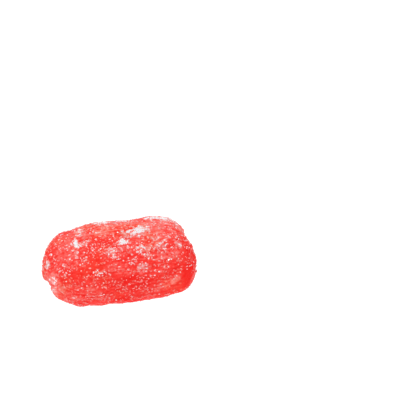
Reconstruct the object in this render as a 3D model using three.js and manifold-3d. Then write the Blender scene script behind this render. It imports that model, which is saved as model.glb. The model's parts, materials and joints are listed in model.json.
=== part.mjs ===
// A sugar-sanded cough candy: one stubby log of red boiled sugar, cut from a pulled rope, slumped a
// little flat underneath while it was warm, and tumbled in sugar that sticks to it as cakes, crags and
// coarse crystals. Millimetres, +Z up, the log along X, the origin under the middle of its flat foot.
import * as THREE from "three";
import { ImprovedNoise } from "three/addons/math/ImprovedNoise.js";
import { mergeVertices } from "three/addons/utils/BufferGeometryUtils.js";
import Module from "manifold-3d";

const wasm = await Module();
wasm.setup();

// Driving dimensions of the log
const length = 28.9;
const width = 16.0;
const heightAboveWaist = 7.5;
const heightBelowWaist = 6.5;
const footTrim = 0.55;

// How square the log is: 2 is an ellipse, larger is nearer to a box
const roundEnd = 2.35;
const bluntEnd = 2.9;
const upperSection = 2.25;
const lowerSection = 2.75;

// Facets along, across and up the log
const facets = { along: 34, across: 19, up: 16 };

// Swells and hollows, placed along X in mm and round the log in degrees: 0 faces front, 90 is the top
const swells = [
  { along: 9.0, round: 114, reach: 5.2, rise: 0.8 },
  { along: 11.2, round: 124, reach: 2.8, rise: 0.3 },
  { along: 12.5, round: 126, reach: 1.5, rise: 0.15 },
  { along: 4.6, round: 128, reach: 2.2, rise: -0.35 },
  { along: 13.2, round: 100, reach: 2.0, rise: -0.5 },
  { along: 13.8, round: 140, reach: 2.2, rise: -0.75 },
  { along: -0.6, round: 124, reach: 2.8, rise: 0.2 },
  { along: -4.6, round: 118, reach: 4.0, rise: 0.42 },
  { along: -8.0, round: 130, reach: 2.0, rise: -0.25 },
  { along: -10.6, round: 126, reach: 2.6, rise: 0.95 },
  { along: -13.6, round: 132, reach: 2.0, rise: -0.25 },
  { along: -11.6, round: 50, reach: 3.2, rise: -0.3 },
  { along: -13.9, round: 310, reach: 1.8, rise: -1.0 },
  { along: -11.2, round: 326, reach: 4.0, rise: 0.12 },
  { along: -3.0, round: 20, reach: 5.0, rise: 0.3 },
  { along: -2.2, round: 308, reach: 4.0, rise: -0.42 },
  { along: 5.6, round: 312, reach: 3.0, rise: -0.2 },
  { along: 4.5, round: 5, reach: 3.4, rise: -0.3 },
  { along: 9.0, round: 25, reach: 3.6, rise: 0.26 },
  { along: 12.6, round: 335, reach: 4.4, rise: 0.8 },
  { along: 14.4, round: 330, reach: 1.6, rise: -0.4 },
  { along: 14.3, round: 5, reach: 2.0, rise: 0.3 },
  { along: -9.0, round: 200, reach: 5.0, rise: 0.4 },
  { along: 0.5, round: 185, reach: 4.0, rise: -0.4 },
  { along: 6.0, round: 210, reach: 4.6, rise: 0.35 },
];

// Fine unevenness of the pulled sugar: waves this long in mm, drawn out along the log
const ripple = { wave: 3.4, drawnOut: 1.7, rise: 0.4 };
const graze = { wave: 1.8, drawnOut: 1.6, rise: 0.24 };

// Cakes of sugar, placed as the swells are, with their length along the log and breadth round it in mm
const cakes = [
  { along: 3.5, round: 88, long: 2.8, broad: 1.9 },
  { along: 1.0, round: 90, long: 1.4, broad: 0.9 },
  { along: 0.5, round: 71, long: 1.8, broad: 1.2 },
  { along: -1.7, round: 56, long: 1.3, broad: 1.6 },
  { along: -8.1, round: 82, long: 1.3, broad: 1.6 },
  { along: -6.4, round: 82, long: 2.0, broad: 1.2 },
  { along: -6.9, round: 107, long: 1.6, broad: 2.0 },
  { along: 3.5, round: 58, long: 1.4, broad: 1.2 },
  { along: 4.8, round: 46, long: 1.6, broad: 1.2 },
  { along: 6.8, round: 58, long: 1.6, broad: 1.5 },
  { along: -5.2, round: 32, long: 2.0, broad: 1.3 },
  { along: 3.2, round: 30, long: 1.3, broad: 2.0 },
  { along: 10.9, round: 59, long: 1.6, broad: 1.3 },
  { along: 9.2, round: 4, long: 2.4, broad: 1.4 },
  { along: -2.6, round: 118, long: 3.6, broad: 1.3 },
  { along: 1.2, round: 117, long: 1.5, broad: 1.2 },
  { along: 8.2, round: 115, long: 4.6, broad: 1.5 },
  { along: 11.4, round: 110, long: 1.8, broad: 1.4 },
  { along: -9.0, round: 158, long: 2.2, broad: 1.5 },
  { along: -1.8, round: 170, long: 1.7, broad: 1.6 },
  { along: 3.4, round: 148, long: 2.2, broad: 1.4 },
  { along: 8.2, round: 178, long: 1.7, broad: 1.5 },
  { along: -12.8, round: 150, long: 1.5, broad: 1.5 },
];
const cake = { crumbEvery: 1.05, least: 0.75, most: 1.3, flatness: 0.55, sunk: 0.08, seed: 5 };

// Sugar scattered all over: small crags, and the coarsest single crystals, both kept off the foot
const crags = { count: 40, least: 0.9, most: 1.7, flatness: 0.45, sunk: 0.1, seed: 11 };
const crystals = { count: 62, least: 0.4, most: 0.65, breadth: 0.75, thickness: 0.65, sunk: 0.08, seed: 47 };
const bareUnder = 2.4;

// How far the corners of a crumb are drawn in and out, and how much longer than broad it can be
const crumbs = { jag: 0.34, stretch: 0.6 };

// The scatter stops this share of the way to the tips, and strays this many degrees from its even spread
const scatter = { share: 0.97, stray: 40 };

// Corners closer than this are one corner
const weld = 1e-4;

// Multiplier and modulus of the seeded draw
const shuffle = { times: 16807, modulus: 2147483647 };

const halfLength = length / 2;
const halfWidth = width / 2;
const noise = new ImprovedNoise();

// A repeatable stream of numbers from 0 to 1.
function drawer(seed) {
  let state = seed;
  return () => {
    state = (state * shuffle.times) % shuffle.modulus;
    return state / shuffle.modulus;
  };
}

function power(value, exponent) {
  return Math.pow(Math.abs(value), exponent);
}

// Distance of a point from the X axis, as the square-cornered section counts it.
function sectionReach(y, z) {
  const shape = z < 0 ? lowerSection : upperSection;
  return Math.pow(power(y, shape) + power(z, shape), 1 / shape);
}

// The smooth log: the point where a ray from the middle of the waist leaves it.
function smoothPoint(ray) {
  const endShape = ray.x < 0 ? roundEnd : bluntEnd;
  const reach = Math.pow(power(ray.x, endShape) + power(sectionReach(ray.y, ray.z), endShape), 1 / endShape);
  const halfHeight = ray.z < 0 ? heightBelowWaist : heightAboveWaist;
  return new THREE.Vector3(ray.x * halfLength, ray.y * halfWidth, ray.z * halfHeight).divideScalar(reach);
}

// The way out of the log at a point on it, taken as that of the ellipsoid with the same half sizes.
function outward(point) {
  const halfHeight = point.z < 0 ? heightBelowWaist : heightAboveWaist;
  const normal = new THREE.Vector3(
    point.x / halfLength ** 2,
    point.y / halfWidth ** 2,
    point.z / halfHeight ** 2,
  );
  return normal.normalize();
}

// A ray to a place on the log, by its distance along X and its angle round the log.
function rayTo(along, roundDegrees) {
  const angle = THREE.MathUtils.degToRad(roundDegrees);
  const share = along / halfLength;
  const endShape = share < 0 ? roundEnd : bluntEnd;
  const section = Math.pow(1 - power(share, endShape), 1 / endShape);
  const front = -Math.cos(angle);
  const up = Math.sin(angle);
  const side = section / sectionReach(front, up);
  return new THREE.Vector3(share, front * side, up * side);
}

const swellPlaces = swells.map((swell) => ({ ...swell, at: smoothPoint(rayTo(swell.along, swell.round)) }));

function waves(point, { wave, drawnOut, rise }) {
  return rise * noise.noise(point.x / (wave * drawnOut), point.y / wave, point.z / wave);
}

// How far the real surface stands proud of the smooth log.
function relief(point) {
  let rise = waves(point, ripple) + waves(point, graze);
  for (const swell of swellPlaces) {
    const away = point.distanceTo(swell.at) / swell.reach;
    rise += swell.rise * Math.exp(-away * away);
  }
  return rise;
}

function surfacePoint(ray) {
  const point = smoothPoint(ray);
  return point.addScaledVector(outward(point), relief(point));
}

// A closed geometry as a solid that can be joined and cut.
function solidOf(geometry) {
  geometry.deleteAttribute("normal");
  geometry.deleteAttribute("uv");
  const merged = mergeVertices(geometry, weld);
  return new wasm.Manifold(
    new wasm.Mesh({
      numProp: 3,
      vertProperties: new Float32Array(merged.attributes.position.array),
      triVerts: new Uint32Array(merged.index.array),
    }),
  );
}

function geometryOf(solid) {
  const mesh = solid.getMesh();
  const geometry = new THREE.BufferGeometry();
  geometry.setAttribute("position", new THREE.BufferAttribute(mesh.vertProperties, 3));
  geometry.setIndex(new THREE.BufferAttribute(mesh.triVerts, 1));
  return geometry;
}

// Moves every corner of a geometry to where the function sends it.
function reshape(geometry, place) {
  const corners = geometry.getAttribute("position");
  const corner = new THREE.Vector3();
  for (let i = 0; i < corners.count; i += 1) {
    const moved = place(corner.fromBufferAttribute(corners, i));
    corners.setXYZ(i, moved.x, moved.y, moved.z);
  }
  return geometry;
}

// The bare log: a box of small facets, each corner pushed out to the uneven surface.
function bareLog() {
  const box = new THREE.BoxGeometry(2, 2, 2, facets.along, facets.across, facets.up);
  return solidOf(reshape(box, (corner) => surfacePoint(corner)));
}

// Places spread evenly over the log by the golden angle, each with its way out, none near the foot.
function* spots(count, draw) {
  const goldenAngle = 180 * (3 - Math.sqrt(5));
  for (let i = 0; i < count; i += 1) {
    const share = -1 + (2 * i + 1) / count;
    const along = halfLength * scatter.share * Math.sin((share * Math.PI) / 2);
    const round = i * goldenAngle + scatter.stray * (draw() - 0.5);
    const at = surfacePoint(rayTo(along, round));
    if (at.z > footTrim + bareUnder - heightBelowWaist) yield { at, out: outward(at) };
  }
}

// Turns and moves a small geometry so that its own +Z stands along the way out, at a spot on the log.
function standOn(geometry, spot, spin, sunk) {
  const turn = new THREE.Quaternion().setFromUnitVectors(new THREE.Vector3(0, 0, 1), spot.out);
  const seat = spot.at.clone().addScaledVector(spot.out, -sunk);
  geometry.rotateZ(spin);
  geometry.applyQuaternion(turn);
  geometry.translate(seat.x, seat.y, seat.z);
  return solidOf(geometry);
}

// A crumb of stuck sugar: a ball of a few facets, its corners drawn in and out, squashed flat.
function crumb(size, flatness, draw) {
  const ball = new THREE.IcosahedronGeometry(size / 2).deleteAttribute("normal").deleteAttribute("uv");
  const jagged = reshape(mergeVertices(ball), (corner) =>
    corner.multiplyScalar(1 + crumbs.jag * (draw() - 0.5)),
  );
  return jagged.scale(1 + crumbs.stretch * draw(), 1, flatness);
}

// The cakes, each a huddle of crumbs spread over its length and breadth.
function* sugarCakes() {
  const draw = drawer(cake.seed);
  const girth = (halfWidth + heightAboveWaist) / 2;
  for (const { along, round, long, broad } of cakes) {
    const turn = THREE.MathUtils.radToDeg(broad / girth);
    for (let left = long * broad; left > 0; left -= cake.crumbEvery) {
      const at = surfacePoint(rayTo(along + long * (draw() - 0.5), round + turn * (draw() - 0.5)));
      const size = THREE.MathUtils.lerp(cake.least, cake.most, draw());
      yield standOn(crumb(size, cake.flatness, draw), { at, out: outward(at) }, draw() * Math.PI, cake.sunk);
    }
  }
}

// The small crags, each turned any way.
function* sugarCrags() {
  const draw = drawer(crags.seed);
  for (const spot of spots(crags.count, draw)) {
    const size = THREE.MathUtils.lerp(crags.least, crags.most, draw() ** 2);
    yield standOn(crumb(size, crags.flatness, draw), spot, draw() * Math.PI, crags.sunk);
  }
}

// A coarse crystal: a stubby block tipped over at any angle.
function* sugarCrystals() {
  const draw = drawer(crystals.seed);
  for (const spot of spots(crystals.count, draw)) {
    const size = THREE.MathUtils.lerp(crystals.least, crystals.most, draw());
    const block = new THREE.BoxGeometry(size, size * crystals.breadth, size * crystals.thickness);
    block.rotateX(draw() * Math.PI);
    block.rotateY(draw() * Math.PI);
    yield standOn(block, spot, draw() * Math.PI, crystals.sunk);
  }
}

// The largest skin of a solid: a gap shut in between lumps is filled, and a loose scrap dropped.
function outerSkin(solid) {
  const skins = solid.decompose();
  return skins.reduce((largest, skin) => (skin.volume() > largest.volume() ? skin : largest));
}

// The log with its sugar fused on, trimmed flat underneath.
function candyGeometry() {
  let solid = bareLog();
  for (const lump of [...sugarCakes(), ...sugarCrags(), ...sugarCrystals()]) solid = solid.add(lump);
  const footLevel = footTrim - heightBelowWaist;
  const below = new THREE.BoxGeometry(2 * length, 2 * length, length);
  below.translate(0, 0, footLevel - length / 2);
  const geometry = geometryOf(outerSkin(solid.subtract(solidOf(below))));
  geometry.computeBoundingBox();
  const middle = geometry.boundingBox.getCenter(new THREE.Vector3());
  geometry.translate(-middle.x, -middle.y, -footLevel);
  geometry.computeVertexNormals();
  return geometry;
}

const sandedSugar = new THREE.MeshStandardMaterial({
  name: "sanded_sugar",
  color: new THREE.Color().setRGB(0.93, 0.2, 0.17, THREE.SRGBColorSpace),
  roughness: 0.6,
  metalness: 0,
});

const candy = new THREE.Mesh(candyGeometry(), sandedSugar);
candy.name = "candy";

const part = new THREE.Group();
part.name = "cough_candy";
part.add(candy);

export default part;
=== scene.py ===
import json
import math

import bpy
import numpy as np
from mathutils import Matrix, Vector, noise
from mathutils.kdtree import KDTree

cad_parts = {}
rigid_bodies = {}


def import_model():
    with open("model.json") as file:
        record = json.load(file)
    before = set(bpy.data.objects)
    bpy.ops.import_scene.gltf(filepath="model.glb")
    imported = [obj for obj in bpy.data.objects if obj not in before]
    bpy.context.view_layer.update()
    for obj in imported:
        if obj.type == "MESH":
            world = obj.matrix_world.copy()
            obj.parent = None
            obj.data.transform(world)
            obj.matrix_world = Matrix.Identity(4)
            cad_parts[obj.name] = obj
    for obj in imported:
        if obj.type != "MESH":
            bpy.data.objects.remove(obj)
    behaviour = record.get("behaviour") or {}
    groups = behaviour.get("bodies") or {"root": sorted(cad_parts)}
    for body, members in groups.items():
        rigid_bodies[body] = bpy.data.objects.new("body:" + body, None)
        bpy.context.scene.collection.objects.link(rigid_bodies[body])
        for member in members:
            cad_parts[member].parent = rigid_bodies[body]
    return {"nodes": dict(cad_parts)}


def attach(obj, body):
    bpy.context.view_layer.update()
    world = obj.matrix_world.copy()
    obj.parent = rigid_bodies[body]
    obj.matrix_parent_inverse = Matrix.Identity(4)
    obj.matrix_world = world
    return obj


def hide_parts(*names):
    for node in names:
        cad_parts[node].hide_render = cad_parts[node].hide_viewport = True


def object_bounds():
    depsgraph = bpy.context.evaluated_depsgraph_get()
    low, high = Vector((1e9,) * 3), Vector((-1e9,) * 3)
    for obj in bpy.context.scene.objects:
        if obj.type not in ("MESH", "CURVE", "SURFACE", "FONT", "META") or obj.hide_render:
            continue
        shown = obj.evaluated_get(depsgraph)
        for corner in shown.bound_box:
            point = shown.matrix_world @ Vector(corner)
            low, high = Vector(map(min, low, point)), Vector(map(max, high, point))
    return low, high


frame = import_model()

cadLow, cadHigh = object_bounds()
mm = 0.001                # shapes are made in mm and brought to metres at the end


def pick(piece):
    bpy.ops.object.select_all(action="DESELECT")
    piece.select_set(True)
    bpy.context.view_layer.objects.active = piece


def addPiece(name, mesh):
    piece = bpy.data.objects.new(name, mesh)
    bpy.context.scene.collection.objects.link(piece)
    pick(piece)
    return piece


def applyAll(piece):
    pick(piece)
    for modifier in list(piece.modifiers):
        bpy.ops.object.modifier_apply(modifier=modifier.name)


def corners(piece):
    places = np.empty(len(piece.data.vertices) * 3, np.float32)
    piece.data.vertices.foreach_get("co", places)
    return places.reshape(-1, 3)


def ways(piece):
    outs = np.empty(len(piece.data.vertices) * 3, np.float32)
    piece.data.vertices.foreach_get("normal", outs)
    return outs.reshape(-1, 3)


def keepValues(piece, name, values):
    layer = piece.data.attributes.new(name, "FLOAT", "POINT")
    layer.data.foreach_set("value", np.asarray(values, np.float32))


def smoothStep(low, high, values):
    share = np.clip((values - low) / (high - low), 0, 1)
    return share * share * (3 - 2 * share)


# Places on the log: mm along it, degrees round it (0 front, 90 top), sizes in mm

log = {
    "halfWidth": 8.0,
    "aboveWaist": 7.5,
    "belowWaist": 6.5,
    "waistHeight": 5.95,  # above the surface it rests on
    "farOut": 3.0,        # half widths from the middle, well clear of the log
    "patchEdge": 0.8,     # softness of a patch's edge, as a share of its size
}


def placeOn(body, along, turn):
    angle = math.radians(turn)
    halfHeight = log["aboveWaist"] if math.sin(angle) > 0 else log["belowWaist"]
    out = Vector((0, -math.cos(angle) * log["halfWidth"], math.sin(angle) * halfHeight))
    far = Vector((along, 0, log["waistHeight"])) + log["farOut"] * out
    return np.array(body.ray_cast(far, -out.normalized())[1])      # where it meets the log


def patch(body, places, spot, shift=0.0):
    off = places - placeOn(body, spot["along"], spot["turn"])
    across = np.hypot(off[:, 1], off[:, 2])
    away = 2 * np.hypot(off[:, 0] / spot["long"], across / spot["broad"])      # 1 at its edge
    return 1 - smoothStep(1 - log["patchEdge"], 1 + log["patchEdge"], away - shift)


# The boiled sugar body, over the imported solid

bodyShape = {
    "weld": 1e-4,         # mm, corners nearer than this are one
    "voxel": 0.145,       # mm, the new facets
    "ease": 5,            # smoothing passes over the facets
    "streaks": {"kind": "CLOUDS", "size": 0.4, "drawnOut": 8.0, "rise": 0.18},
    "lumps": {"kind": "CLOUDS", "size": 1.0, "drawnOut": 1.6, "rise": 0.2},
    "granules": {"kind": "VORONOI", "size": 0.42, "drawnOut": 1.2, "rise": -0.11},
    "levelling": 50,      # smoothing passes that find the even surface
}

# small pinches and swellings of the ends, left by the cutter
pinches = [
    {"along": -14.3, "turn": 20, "long": 1.6, "broad": 3.4, "rise": 0.3},
    {"along": -13.9, "turn": -22, "long": 1.2, "broad": 1.2, "rise": -0.4},
    {"along": -13.9, "turn": -55, "long": 1.2, "broad": 1.2, "rise": -0.35},
    {"along": -13.7, "turn": -102, "long": 1.6, "broad": 1.5, "rise": -0.5},
    {"along": -12.4, "turn": -39, "long": 1.6, "broad": 1.6, "rise": 0.25},
    {"along": -13.0, "turn": -18, "long": 1.8, "broad": 1.8, "rise": 0.25},
    {"along": 14.0, "turn": 42, "long": 2.0, "broad": 3.6, "rise": -0.35},
    {"along": 11.2, "turn": -28, "long": 4.6, "broad": 2.4, "rise": 0.32},
]


def roughen(piece, name, kind, size, drawnOut, rise, where=""):
    pattern = bpy.data.textures.new(name, kind)
    pattern.noise_scale = size
    bpy.ops.object.empty_add(location=(0, 0, 0))
    ruler = bpy.context.object            # stretches the pattern along the log
    ruler.scale = (drawnOut, 1, 1)
    bpy.context.view_layer.update()
    pick(piece)
    push = piece.modifiers.new(name, "DISPLACE")
    push.texture = pattern
    push.texture_coords = "OBJECT"
    push.texture_coords_object = ruler
    push.strength = rise
    push.vertex_group = where
    bpy.ops.object.modifier_apply(modifier=push.name)
    bpy.data.objects.remove(ruler)


def press(piece, spot):
    places = corners(piece)
    places += ways(piece) * (spot["rise"] * patch(piece, places, spot))[:, None]
    piece.data.vertices.foreach_set("co", places.ravel())
    piece.data.update()


def makeBody():
    body = addPiece("boiledSugar", frame["nodes"]["candy"].data.copy())
    body.data.materials.clear()
    body.data.transform(Matrix.Scale(1 / mm, 4))
    bpy.ops.object.mode_set(mode="EDIT")
    bpy.ops.mesh.select_all(action="SELECT")
    bpy.ops.mesh.remove_doubles(threshold=bodyShape["weld"])
    bpy.ops.object.mode_set(mode="OBJECT")
    remesh = body.modifiers.new("evenFacets", "REMESH")
    remesh.mode = "VOXEL"
    remesh.voxel_size = bodyShape["voxel"]
    ease = body.modifiers.new("ease", "SMOOTH")
    ease.iterations = bodyShape["ease"]
    applyAll(body)
    for spot in pinches:
        press(body, spot)
    for name in ("streaks", "lumps"):
        roughen(body, name, **bodyShape[name])
    sanded = sandedShare(body)
    group = body.vertex_groups.new(name="sanded")
    for index, share in enumerate(sanded):
        group.add([index], share, "REPLACE")
    roughen(body, "granules", **bodyShape["granules"], where="sanded")
    body.vertex_groups.clear()
    places = corners(body)
    places[:, 2] = np.maximum(places[:, 2], 0)            # the foot stays flat on the surface
    body.data.vertices.foreach_set("co", places.ravel())
    bpy.ops.object.shade_smooth()
    body.data.update()
    print("body:", len(body.data.vertices), "corners,", len(body.data.polygons), "faces")
    return body, sanded


def heightOver(body):
    level = addPiece("level", body.data.copy())
    even = level.modifiers.new("even", "SMOOTH")
    even.iterations = bodyShape["levelling"]
    applyAll(level)
    height = np.einsum("ij,ij->i", corners(body) - corners(level), ways(level))
    bpy.data.objects.remove(level)
    return height


# How much sugar stuck where

cover = {
    "ridge": 0.06,        # mm above the even surface that counts as a ridge
    "ground": 0.42,
    "ridgeGain": 0.32,
    "upGain": 0.12,       # more sugar lies on what faces up
    "clumpLong": 3.6,     # mm along, the thicker and thinner patches of sugar
    "clumpBroad": 2.0,    # and across
    "clumpShift": 21.7,   # which stretch of the pattern
    "clumpGain": 0.5,
    "bareTo": 0.4,        # mm above the foot, where the sugar starts
    "bareUnder": 2.4,     # and where it is in full
    "ragged": 0.5,        # how far the relief shifts a patch's edge
    "paleGround": 0.242,  # how pale the red is, and what adds to that
    # paler on ridges where sugar sits; deeper red in pits, partly the deeper sugar there and partly
    # painted shade
    "ridgePaleAndPitShade": 0.18,
    # paler where it faces up and deeper where it faces down: partly more sugar on top, partly
    # painted light from above and painted shade underneath
    "paleUpSugarAndPaintedLight": 0.16,
    "paleClump": 0.16,
    "paleNear": 0.16,     # sugar that melted into the surface beside a grain
    "paleCaked": 0.42,
    "nearReach": 0.3,     # mm from a grain
}

# cakes of stuck sugar, and how white each is
cakes = [
    {"along": 3.7, "turn": 87, "long": 2.7, "broad": 1.7, "white": 1.6},
    {"along": 1.1, "turn": 88, "long": 1.4, "broad": 0.8, "white": 1.4},
    {"along": 0.5, "turn": 70, "long": 1.8, "broad": 1.2, "white": 1.5},
    {"along": -1.7, "turn": 56, "long": 1.3, "broad": 1.6, "white": 0.7},
    {"along": -8.1, "turn": 82, "long": 1.3, "broad": 1.6, "white": 1.0},
    {"along": -6.4, "turn": 82, "long": 2.0, "broad": 1.2, "white": 0.6},
    {"along": -6.9, "turn": 107, "long": 1.6, "broad": 2.0, "white": 0.4},
    {"along": 3.5, "turn": 58, "long": 1.4, "broad": 1.2, "white": 0.6},
    {"along": 4.8, "turn": 46, "long": 1.6, "broad": 1.2, "white": 0.5},
    {"along": 7.4, "turn": 58, "long": 1.6, "broad": 1.5, "white": 0.55},
    {"along": -5.2, "turn": 32, "long": 2.0, "broad": 1.3, "white": 0.5},
    {"along": 3.2, "turn": 30, "long": 1.3, "broad": 2.0, "white": 0.6},
    {"along": 10.9, "turn": 60, "long": 1.5, "broad": 1.2, "white": 0.7},
    {"along": 9.2, "turn": 4, "long": 2.4, "broad": 1.4, "white": 0.1},
    {"along": -2.6, "turn": 118, "long": 3.6, "broad": 1.3, "white": 0.85},
    {"along": 1.2, "turn": 117, "long": 1.5, "broad": 1.2, "white": 1.1},
    {"along": 8.8, "turn": 115, "long": 4.6, "broad": 1.5, "white": 1.1},
    {"along": 11.4, "turn": 110, "long": 1.8, "broad": 1.4, "white": 0.5},
    {"along": -9.0, "turn": 158, "long": 2.2, "broad": 1.5, "white": 0.8},
    {"along": -1.8, "turn": 170, "long": 1.7, "broad": 1.6, "white": 0.5},
    {"along": 3.4, "turn": 148, "long": 2.2, "broad": 1.4, "white": 0.9},
    {"along": 8.2, "turn": 178, "long": 1.7, "broad": 1.5, "white": 0.6},
    {"along": -12.8, "turn": 150, "long": 1.5, "broad": 1.5, "white": 0.5},
    {"along": -13.8, "turn": 66, "long": 1.0, "broad": 1.2, "white": 0.8},
]

# places smoother than the rest (strip), paler or deeper in colour (pale); some deeper places are
# painted shade
rubbedAndShaded = [
    {"along": -10.3, "turn": 77, "long": 3.4, "broad": 4.2, "strip": 0.5, "pale": 0.08},
    {"along": -11.6, "turn": 104, "long": 4.0, "broad": 3.0, "strip": 0.3, "pale": 0.05},
    {"along": -12.2, "turn": -10, "long": 4.5, "broad": 5.2, "strip": 0.4, "pale": 0.2},
    {"along": -13.3, "turn": 19, "long": 2.4, "broad": 2.4, "strip": 0.7, "pale": 0.35},
    {"along": -13.0, "turn": 3, "long": 2.0, "broad": 3.0, "strip": 0.3, "pale": 0.18},
    {"along": -4.4, "turn": 46, "long": 3.0, "broad": 2.6, "strip": 0.15, "pale": -0.15},
    {"along": -13.8, "turn": 62, "long": 1.8, "broad": 2.2, "strip": 0.0, "pale": 0.15},
    {"along": -11.3, "turn": 27, "long": 3.0, "broad": 2.4, "strip": 0.2, "pale": -0.2},
    {"along": -13.4, "turn": 105, "long": 3.0, "broad": 6.0, "strip": 0.2, "pale": -0.18},
    {"along": -4.0, "turn": 74, "long": 3.6, "broad": 1.8, "strip": 0.15, "pale": -0.15},
    {"along": -1.8, "turn": 70, "long": 2.4, "broad": 2.0, "strip": 0.2, "pale": -0.2},
    {"along": 0.8, "turn": 54, "long": 1.8, "broad": 2.0, "strip": 0.2, "pale": -0.15},
    {"along": 2.4, "turn": 46, "long": 4.4, "broad": 2.0, "strip": 0.1, "pale": -0.15},
    {"along": -1.0, "turn": 37, "long": 4.5, "broad": 2.4, "strip": 0.0, "pale": 0.08},
    {"along": -8.3, "turn": 28, "long": 2.8, "broad": 2.4, "strip": 0.2, "pale": -0.18},
    {"along": 11.4, "turn": -14, "long": 6.0, "broad": 4.2, "strip": 0.8, "pale": -0.05},
    # deeper red and fewer grains at the right end: partly the candy's own colour, partly painted
    # shade of a neighbouring candy
    {"along": 13.2, "turn": 10, "long": 3.4, "broad": 5.0, "strip": 0.75, "pale": -0.5},
    {"along": 12.8, "turn": 62, "long": 2.6, "broad": 3.0, "strip": 0.3, "pale": -0.28},
    {"along": 9.3, "turn": 0, "long": 2.4, "broad": 2.2, "strip": 0.8, "pale": 0.34},
    {"along": 7.6, "turn": -4, "long": 3.4, "broad": 1.1, "strip": 0.3, "pale": 0.25},
    {"along": -8.5, "turn": 67, "long": 0.4, "broad": 2.0, "strip": 0.0, "pale": 0.3},
    {"along": 7.4, "turn": 46, "long": 5.0, "broad": 0.5, "strip": 0.0, "pale": 0.3},
    {"along": 6.6, "turn": 40, "long": 4.0, "broad": 0.4, "strip": 0.0, "pale": 0.25},
    {"along": -4.8, "turn": 62, "long": 3.2, "broad": 3.0, "strip": 0.2, "pale": -0.15},
    {"along": 0.5, "turn": 12, "long": 9.0, "broad": 2.4, "strip": 0.0, "pale": -0.24},
    {"along": -7.0, "turn": 0, "long": 5.5, "broad": 2.4, "strip": 0.0, "pale": 0.21},
    {"along": 6.4, "turn": -14, "long": 4.0, "broad": 2.6, "strip": 0.0, "pale": 0.12},
    {"along": 8.0, "turn": 98, "long": 8.0, "broad": 6.0, "strip": 0.1, "pale": 0.2},
    {"along": -2.6, "turn": 97, "long": 3.0, "broad": 2.4, "strip": 0.0, "pale": 0.26},
    {"along": 1.5, "turn": -30, "long": 12.0, "broad": 2.6, "strip": 0.1, "pale": -0.2},
    {"along": -7.2, "turn": 108, "long": 2.4, "broad": 4.0, "strip": 0.0, "pale": 0.12},
    {"along": 0.0, "turn": 106, "long": 9.0, "broad": 2.4, "strip": 0.0, "pale": 0.12},
]


def sandedShare(body):
    places = corners(body)
    share = smoothStep(cover["bareTo"], cover["bareUnder"], places[:, 2])
    for spot in rubbedAndShaded:
        share *= 1 - spot["strip"] * patch(body, places, spot)
    return share


def clumps(places, long, broad, shift=0.0):
    scale = np.array([long, broad, broad])
    return np.array([noise.noise(place) for place in places / scale + shift])


def sugarCover(body, sanded):
    places = corners(body)
    up = ways(body)[:, 2]
    height = heightOver(body)
    print("relief: spread", height.std().round(3), "mm")
    ridge = np.clip(height / cover["ridge"], -1, 1)
    clump = clumps(places, cover["clumpLong"], cover["clumpBroad"], cover["clumpShift"])
    sugar = cover["ground"] + cover["ridgeGain"] * ridge
    sugar = sugar + cover["upGain"] * up + cover["clumpGain"] * clump
    sugar = np.clip(sugar, 0, 1) * sanded
    # ridges paler with sugar, pits deeper red: partly painted shade in the pits
    pale = cover["ridgePaleAndPitShade"] * ridge + cover["paleClump"] * clump
    # the up-facing term is partly painted light on the top and painted shade on the underside,
    # besides the sugar on top
    pale = cover["paleGround"] + pale * sanded + cover["paleUpSugarAndPaintedLight"] * up
    shift = cover["ragged"] * ridge
    # the deeper places here include painted shade at the right end
    for spot in rubbedAndShaded:
        pale += spot["pale"] * patch(body, places, spot, shift)
    caked = np.zeros(len(places))
    for spot in cakes:
        caked = np.maximum(caked, spot["white"] * patch(body, places, spot, shift))
    pale += cover["paleCaked"] * caked
    print("sugar cover: mean", sugar.mean().round(3), "caked", caked.mean().round(3))
    return {"sugar": sugar, "caked": caked, "pale": pale}


def meltBeside(body, layers, grainSpots):
    tree = KDTree(len(grainSpots))
    for index, spot in enumerate(grainSpots):
        tree.insert(spot, index)
    tree.balance()
    away = np.array([tree.find(place)[2] for place in corners(body)])      # mm to the nearest grain
    layers["pale"] += cover["paleNear"] * (1 - smoothStep(0, cover["nearReach"], away))


# Loose sugar: grains, slivers and dust, each kind one joined mesh

grainKinds = [
    {
        "name": "sugarGrains",
        "tries": 15000,
        "rate": 0.32,         # share of the tries kept on ground that is all sugar
        "cakeRate": 0.75,     # and how many more on a cake
        "least": 0.14,        # mm
        "most": 0.29,
        "drawnOut": (0.9, 1.5),
        "along": 1.0,         # how far the long sides lie along the log
        "fresh": 0.33,        # share that is white
        "bevel": 0.2,         # share of the size
        "sunk": (0.05, 0.3),  # shares of the size
        "tilt": 0.35,         # how far a grain leans
        "melts": True,        # into the surface beside it
        "seed": 58,
    },
    {
        "name": "sugarSlivers",
        "tries": 5000,
        "rate": 0.3,
        "cakeRate": 0.3,
        "least": 0.13,
        "most": 0.22,
        "drawnOut": (2.0, 3.6),
        "along": 2.0,
        "fresh": 0.25,
        "bevel": 0.2,
        "sunk": (0.1, 0.35),
        "tilt": 0.12,
        "melts": True,
        "seed": 5,
    },
    {
        "name": "sugarDust",
        "tries": 22000,
        "rate": 0.26,
        "cakeRate": 0.5,
        "least": 0.1,
        "most": 0.2,
        "drawnOut": (0.8, 1.5),
        "along": 0.0,
        "fresh": 0.2,
        "bevel": 0.0,
        "sunk": (0.0, 0.3),
        "tilt": 0.5,
        "melts": False,
        "seed": 7,
    },
]

# what all the kinds share
grainForm = {
    "lowest": 0.4,        # mm above the foot, below which no grain sticks
    "bend": 1.5,          # over 1, so that most grains are small
    "broad": (0.8, 1.2),  # breadth, as a share of the size
}

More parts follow.
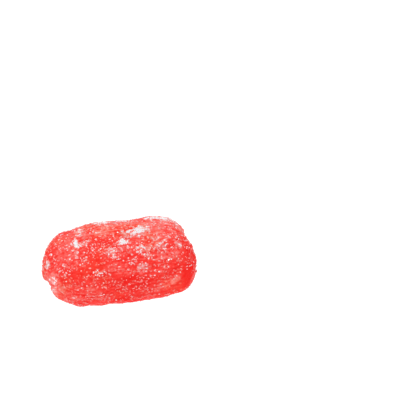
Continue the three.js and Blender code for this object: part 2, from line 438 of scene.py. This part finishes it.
# how white the grains are, from half melted in to fresh
frosting = {
    "spread": 0.4,        # among the half melted ones
    "bend": 2.0,          # over 1, so that most of them are red
    "fresh": 0.55,
    "lowShare": 0.38,     # more of the fresh ones lie on what faces up
    "upShare": 2.0,
    "patchGain": 2.2,     # and in small patches
    "patchLong": 1.8,     # mm
    "patchBroad": 0.9,
    "caked": 0.6,
    "foot": 0.6,          # share of it left where a grain meets the body
}


def crystalShape(bevel):
    bpy.ops.object.select_all(action="DESELECT")
    bpy.ops.mesh.primitive_cube_add(size=1)
    cube = bpy.context.object
    if bevel:
        bpy.ops.object.mode_set(mode="EDIT")
        bpy.ops.mesh.select_all(action="SELECT")
        bpy.ops.mesh.bevel(offset=bevel, segments=1, affect="EDGES")
        bpy.ops.object.mode_set(mode="OBJECT")
    shape = corners(cube)
    faces = [list(face.vertices) for face in cube.data.polygons]
    bpy.data.objects.remove(cube)
    return shape, faces


def unit(vectors):
    return vectors / np.linalg.norm(vectors, axis=1, keepdims=True)


def turnsOn(normals, kind, draw):
    up = unit(normals + kind["tilt"] * draw.normal(size=normals.shape))
    side = draw.normal(size=normals.shape) + kind["along"] * np.array([1, 0, 0])
    side = unit(side - up * np.einsum("ij,ij->i", side, up)[:, None])
    return np.stack([side, np.cross(up, side), up], axis=2)


def spotsOn(body, kind, layers, draw):
    body.data.calc_loop_triangles()
    ends = np.empty(len(body.data.loop_triangles) * 3, np.int32)
    body.data.loop_triangles.foreach_get("vertices", ends)
    ends = ends.reshape(-1, 3)
    places = corners(body)
    a, b, c = (places[ends[:, i]] for i in range(3))
    areas = np.linalg.norm(np.cross(b - a, c - a), axis=1)
    ends = ends[draw.choice(len(ends), kind["tries"], p=areas / areas.sum())]
    share = draw.dirichlet((1, 1, 1), kind["tries"])

    def mixed(values):
        return np.einsum("ij,ij...->i...", share, values[ends])

    spots = mixed(places)
    caked = mixed(layers["caked"])
    chance = kind["rate"] * mixed(layers["sugar"]) + kind["cakeRate"] * caked
    kept = (draw.random(kind["tries"]) < chance) & (spots[:, 2] > grainForm["lowest"])
    return spots[kept], unit(mixed(ways(body)))[kept], caked[kept]


def frostOf(kind, spots, normals, caked, draw):
    up = np.clip(normals[:, 2], 0, 1)
    clump = clumps(spots, frosting["patchLong"], frosting["patchBroad"])
    patchy = 1 + frosting["patchGain"] * clump
    freshChance = kind["fresh"] * patchy * (frosting["lowShare"] + frosting["upShare"] * up)
    fresh = draw.random(len(spots)) < freshChance
    frost = frosting["spread"] * draw.random(len(spots)) ** frosting["bend"]
    return np.clip(frost + frosting["fresh"] * fresh + frosting["caked"] * caked, 0, 1)


def scatterGrains(body, kind, layers):
    draw = np.random.default_rng(kind["seed"])
    spots, normals, caked = spotsOn(body, kind, layers, draw)
    count = len(spots)
    sizes = kind["least"] + (kind["most"] - kind["least"]) * draw.random(count) ** grainForm["bend"]
    sides = np.repeat(sizes[:, None], 3, axis=1)
    sides[:, 0] *= draw.uniform(*kind["drawnOut"], count)
    sides[:, 1] *= draw.uniform(*grainForm["broad"], count)
    shape, faces = crystalShape(kind["bevel"])
    seats = spots - normals * (sizes * draw.uniform(*kind["sunk"], count))[:, None]
    turns = turnsOn(normals, kind, draw)
    points = np.einsum("gij,gvj->gvi", turns, shape[None] * sides[:, None, :])
    points += seats[:, None, :]
    points[:, :, 2] = np.maximum(points[:, :, 2], 0)            # none reaches below the surface
    starts = len(shape) * np.arange(count)
    faceList = [[corner + start for corner in face] for start in starts for face in faces]
    mesh = bpy.data.meshes.new(kind["name"])
    mesh.from_pydata((points.reshape(-1, 3) * mm).tolist(), [], faceList)
    grains = addPiece(kind["name"], mesh)
    frost = frostOf(kind, spots, normals, caked, draw)
    lift = frosting["foot"] + (1 - frosting["foot"]) * (shape[:, 2] - shape[:, 2].min())
    keepValues(grains, "frost", np.outer(frost, lift).ravel())
    print(kind["name"] + ":", count, "grains,", len(faceList), "faces")
    return grains, spots


# Materials

noiseMiddle = 0.5         # what a noise node swings about

# the colour sockets of a Mix node, by number, because others have the same names
mixEnds = {"share": 0, "first": 6, "second": 7, "result": 2}


class Wire:
    # a socket that can be used in sums
    def __init__(self, tree, socket=None):
        self.tree = tree
        self.socket = socket

    def add(self, kind, settings, sockets, out=0):
        node = self.tree.nodes.new(kind)
        for name, value in settings.items():
            if name == "stops":
                self.setStops(node.color_ramp, value)
            else:
                setattr(node, name, value)
        for name, value in sockets.items():
            if isinstance(value, Wire):
                self.tree.links.new(value.socket, node.inputs[name])
            else:
                node.inputs[name].default_value = value
        return Wire(self.tree, node.outputs[out])

    def setStops(self, ramp, stops):
        while len(ramp.elements) < len(stops):
            ramp.elements.new(1.0)
        for element, (place, colour) in zip(ramp.elements, stops):
            element.position = place
            element.color = colour

    def maths(self, operation, first, second):
        return self.add("ShaderNodeMath", {"operation": operation}, {0: first, 1: second})

    def __add__(self, other):
        return self.maths("ADD", self, other)

    def __radd__(self, other):
        return self.maths("ADD", other, self)

    def __sub__(self, other):
        return self.maths("SUBTRACT", self, other)

    def __rsub__(self, other):
        return self.maths("SUBTRACT", other, self)

    def __mul__(self, other):
        return self.maths("MULTIPLY", self, other)

    def __rmul__(self, other):
        return self.maths("MULTIPLY", other, self)

    def ramp(self, stops):
        return self.add("ShaderNodeValToRGB", {"stops": stops}, {"Fac": self})

    def noise(self, here, perMm, detail):
        sockets = {"Vector": here, "Scale": perMm / mm, "Detail": detail}
        return self.add("ShaderNodeTexNoise", {}, sockets) - noiseMiddle

    def value(self, name):
        return self.add("ShaderNodeAttribute", {"attribute_name": name}, {}, out="Fac")

    def objectPlace(self):
        return self.add("ShaderNodeTexCoord", {}, {}, out="Object")

    def mixed(self, blend, share, first, second):
        settings = {"data_type": "RGBA", "blend_type": blend, "clamp_result": True}
        sockets = {mixEnds["share"]: share, mixEnds["first"]: first, mixEnds["second"]: second}
        return self.add("ShaderNodeMix", settings, sockets, out=mixEnds["result"])


def shaderOf(finish):
    return finish.node_tree.nodes["Principled BSDF"]


def newFinish(name, constants):
    finish = bpy.data.materials.new(name)
    finish.use_nodes = True
    for socket, value in constants.items():
        shaderOf(finish).inputs[socket].default_value = value
    return finish


def feed(finish, links):
    for socket, wire in links.items():
        finish.node_tree.links.new(wire.socket, shaderOf(finish).inputs[socket])


# the red leans here to orange and there to pink, and white sugar doesn't
tint = {
    "size": 0.2,          # waves per mm
    "detail": 3.0,
    "shift": (0.093, 0.0, 0.0),       # metres, which stretch of the pattern
    "even": 0.5,          # halfway from warm to cool
    "gain": 5.0,
    "warm": (1.0, 1.04, 0.84, 1),
    "cool": (1.0, 0.97, 1.25, 1),
    "crustFade": 2.5,     # how late it fades towards a white crust
}


def tinted(wire, here, colour, share):
    there = wire.add("ShaderNodeMapping", {}, {"Vector": here, "Location": tint["shift"]})
    cloud = wire.noise(there, tint["size"], tint["detail"])
    shade = wire.mixed("MIX", tint["even"] + tint["gain"] * cloud, tint["warm"], tint["cool"])
    return wire.mixed("MULTIPLY", share, colour, shade)


bodyFinish = {
    "stops": [            # from bare boiled sugar to a thick crust
        (0.0, (0.87, 0.017, 0.012, 1)),
        (0.35, (0.91, 0.057, 0.045, 1)),
        (0.62, (0.94, 0.16, 0.138, 1)),
        (0.88, (0.95, 0.275, 0.25, 1)),
        (1.0, (0.93, 0.835, 0.86, 1)),
    ],
    "drawnOut": (0.2, 1.0, 1.0),      # stretches the streaks along the log
    "streak": {"perMm": 2.6, "detail": 3.0},
    "speck": {"perMm": 3.0, "detail": 2.0},
    "cloud": {"perMm": 0.7, "detail": 3.0},
    "streakGain": 0.62,
    "speckGain": 0.34,
    "cloudGain": 0.4,
    "smoothest": 0.36,
    "roughGain": 0.35,
    "bump": {"Strength": 0.5, "Distance": 0.06 * mm},
    "constants": {
        "Specular IOR Level": 0.05,
        "Subsurface Weight": 0.5,
        "Subsurface Radius": (1.0, 0.25, 0.2),
        "Subsurface Scale": 1.2 * mm,
    },
}


def bodyMaterial():
    look = bodyFinish
    finish = newFinish("boiledSugar", look["constants"])
    wire = Wire(finish.node_tree)
    here = wire.objectPlace()
    drawn = wire.add("ShaderNodeMapping", {}, {"Vector": here, "Scale": look["drawnOut"]})
    streak = wire.noise(drawn, **look["streak"])
    speck = wire.noise(here, **look["speck"])
    cloud = wire.noise(here, **look["cloud"])
    tone = wire.value("pale") + look["streakGain"] * streak
    tone = tone + look["speckGain"] * speck + look["cloudGain"] * cloud
    bump = wire.add("ShaderNodeBump", {}, {"Height": speck + streak, **look["bump"]})
    feed(finish, {
        "Base Color": tinted(wire, here, tone.ramp(look["stops"]), tint["crustFade"] * (1 - tone)),
        "Roughness": look["smoothest"] + look["roughGain"] * tone,
        "Normal": bump,
    })
    return finish


grainFinish = {
    "stops": [            # from a grain half melted in to a fresh one
        (0.0, (0.92, 0.15, 0.12, 1)),
        (0.5, (0.93, 0.36, 0.358, 1)),
        (1.0, (0.95, 0.935, 0.96, 1)),
    ],
    "constants": {
        "Roughness": 0.12,
        "Specular IOR Level": 0.5,
        "Subsurface Weight": 0.3,
        "Subsurface Radius": (1.0, 0.6, 0.6),
        "Subsurface Scale": 0.3 * mm,
    },
}


def grainMaterial():
    finish = newFinish("whiteSugar", grainFinish["constants"])
    wire = Wire(finish.node_tree)
    frost = wire.value("frost")
    colour = frost.ramp(grainFinish["stops"])
    feed(finish, {"Base Color": tinted(wire, wire.objectPlace(), colour, 1 - frost)})
    return finish


# Floor, light and camera

studio = {
    "floorSide": 3.0,     # metres
    "floorDrop": 0.00002,             # keeps the floor out of the plane of the foot
    "floor": {
        "Base Color": (0.2, 0.2, 0.2, 1),
        "Roughness": 0.8,
        "Specular IOR Level": 0.2,
        "Emission Color": (1.0, 1.0, 1.0, 1),
        "Emission Strength": 1.1,
    },
    "worldColour": (1.0, 1.0, 1.0, 1),
    "worldStrength": 0.66,
    "topLight": {"place": (0.0, 0.06, 0.42), "side": 0.3, "watts": 0.36},
    "sparkLight": {"place": (-0.06, -0.1, 0.38), "side": 0.06, "watts": 0.5},
}


def makeFloor():
    bpy.ops.object.select_all(action="DESELECT")
    under = (0, 0, -studio["floorDrop"])
    bpy.ops.mesh.primitive_plane_add(size=studio["floorSide"], location=under)
    floor = bpy.context.object
    floor.name = "floor"
    bpy.ops.object.transform_apply(location=True)
    floor.data.materials.append(newFinish("paleFloor", studio["floor"]))


def softLight(name, place, side, watts):
    bpy.ops.object.light_add(type="AREA", location=place)
    lamp = bpy.context.object
    lamp.name = name
    lamp.data.size = side
    lamp.data.energy = watts
    lamp.rotation_euler = (-Vector(place)).to_track_quat("-Z", "Y").to_euler()


def makeLight():
    world = bpy.data.worlds.new("studio")
    world.use_nodes = True
    sky = world.node_tree.nodes["Background"]
    sky.inputs["Color"].default_value = studio["worldColour"]
    sky.inputs["Strength"].default_value = studio["worldStrength"]
    bpy.context.scene.world = world
    softLight("topLight", **studio["topLight"])
    softLight("sparkLight", **studio["sparkLight"])
    bpy.context.scene.view_settings.view_transform = "Standard"


viewpoint = {
    "azimuth": -12.1,     # degrees
    "elevation": 35.7,
    "lens": 135.0,        # mm
    "sensor": 36.0,
    "distance": 0.285,    # metres
    "nearest": 0.01,
    "photoSide": 400,     # pixels along each side of the picture
    "candyPixel": (119.2, 259.4),     # where the candy's middle falls in it
}


def makeCamera():
    azimuth = math.radians(viewpoint["azimuth"])
    elevation = math.radians(viewpoint["elevation"])
    level = math.cos(elevation)
    back = Vector((math.sin(azimuth) * level, -math.cos(azimuth) * level, math.sin(elevation)))
    right = Vector((math.cos(azimuth), math.sin(azimuth), 0))
    up = back.cross(right)
    side = viewpoint["photoSide"]
    pixel = viewpoint["sensor"] / viewpoint["lens"] * viewpoint["distance"] / side
    across = (side / 2 - viewpoint["candyPixel"][0]) * pixel
    upward = (viewpoint["candyPixel"][1] - side / 2) * pixel
    aim = (cadLow + cadHigh) / 2 + right * across + up * upward
    bpy.ops.object.camera_add(location=aim + back * viewpoint["distance"])
    camera = bpy.context.object
    camera.rotation_euler = (-back).to_track_quat("-Z", "Y").to_euler()
    camera.data.lens = viewpoint["lens"]
    camera.data.sensor_width = viewpoint["sensor"]
    camera.data.clip_start = viewpoint["nearest"]
    bpy.context.scene.camera = camera


makeCamera()
makeLight()
makeFloor()
print("studio ready")

body, sanded = makeBody()
layers = sugarCover(body, sanded)
whiteSugar = grainMaterial()
meltSpots = []
for kind in grainKinds:
    grains, spots = scatterGrains(body, kind, layers)
    grains.data.materials.append(whiteSugar)
    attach(grains, "root")
    if kind["melts"]:
        meltSpots.extend(spots)
meltBeside(body, layers, meltSpots)
keepValues(body, "pale", layers["pale"])
body.data.transform(Matrix.Scale(mm, 4))
body.data.materials.append(bodyMaterial())
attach(body, "root")
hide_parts("candy")
print("candy ready")
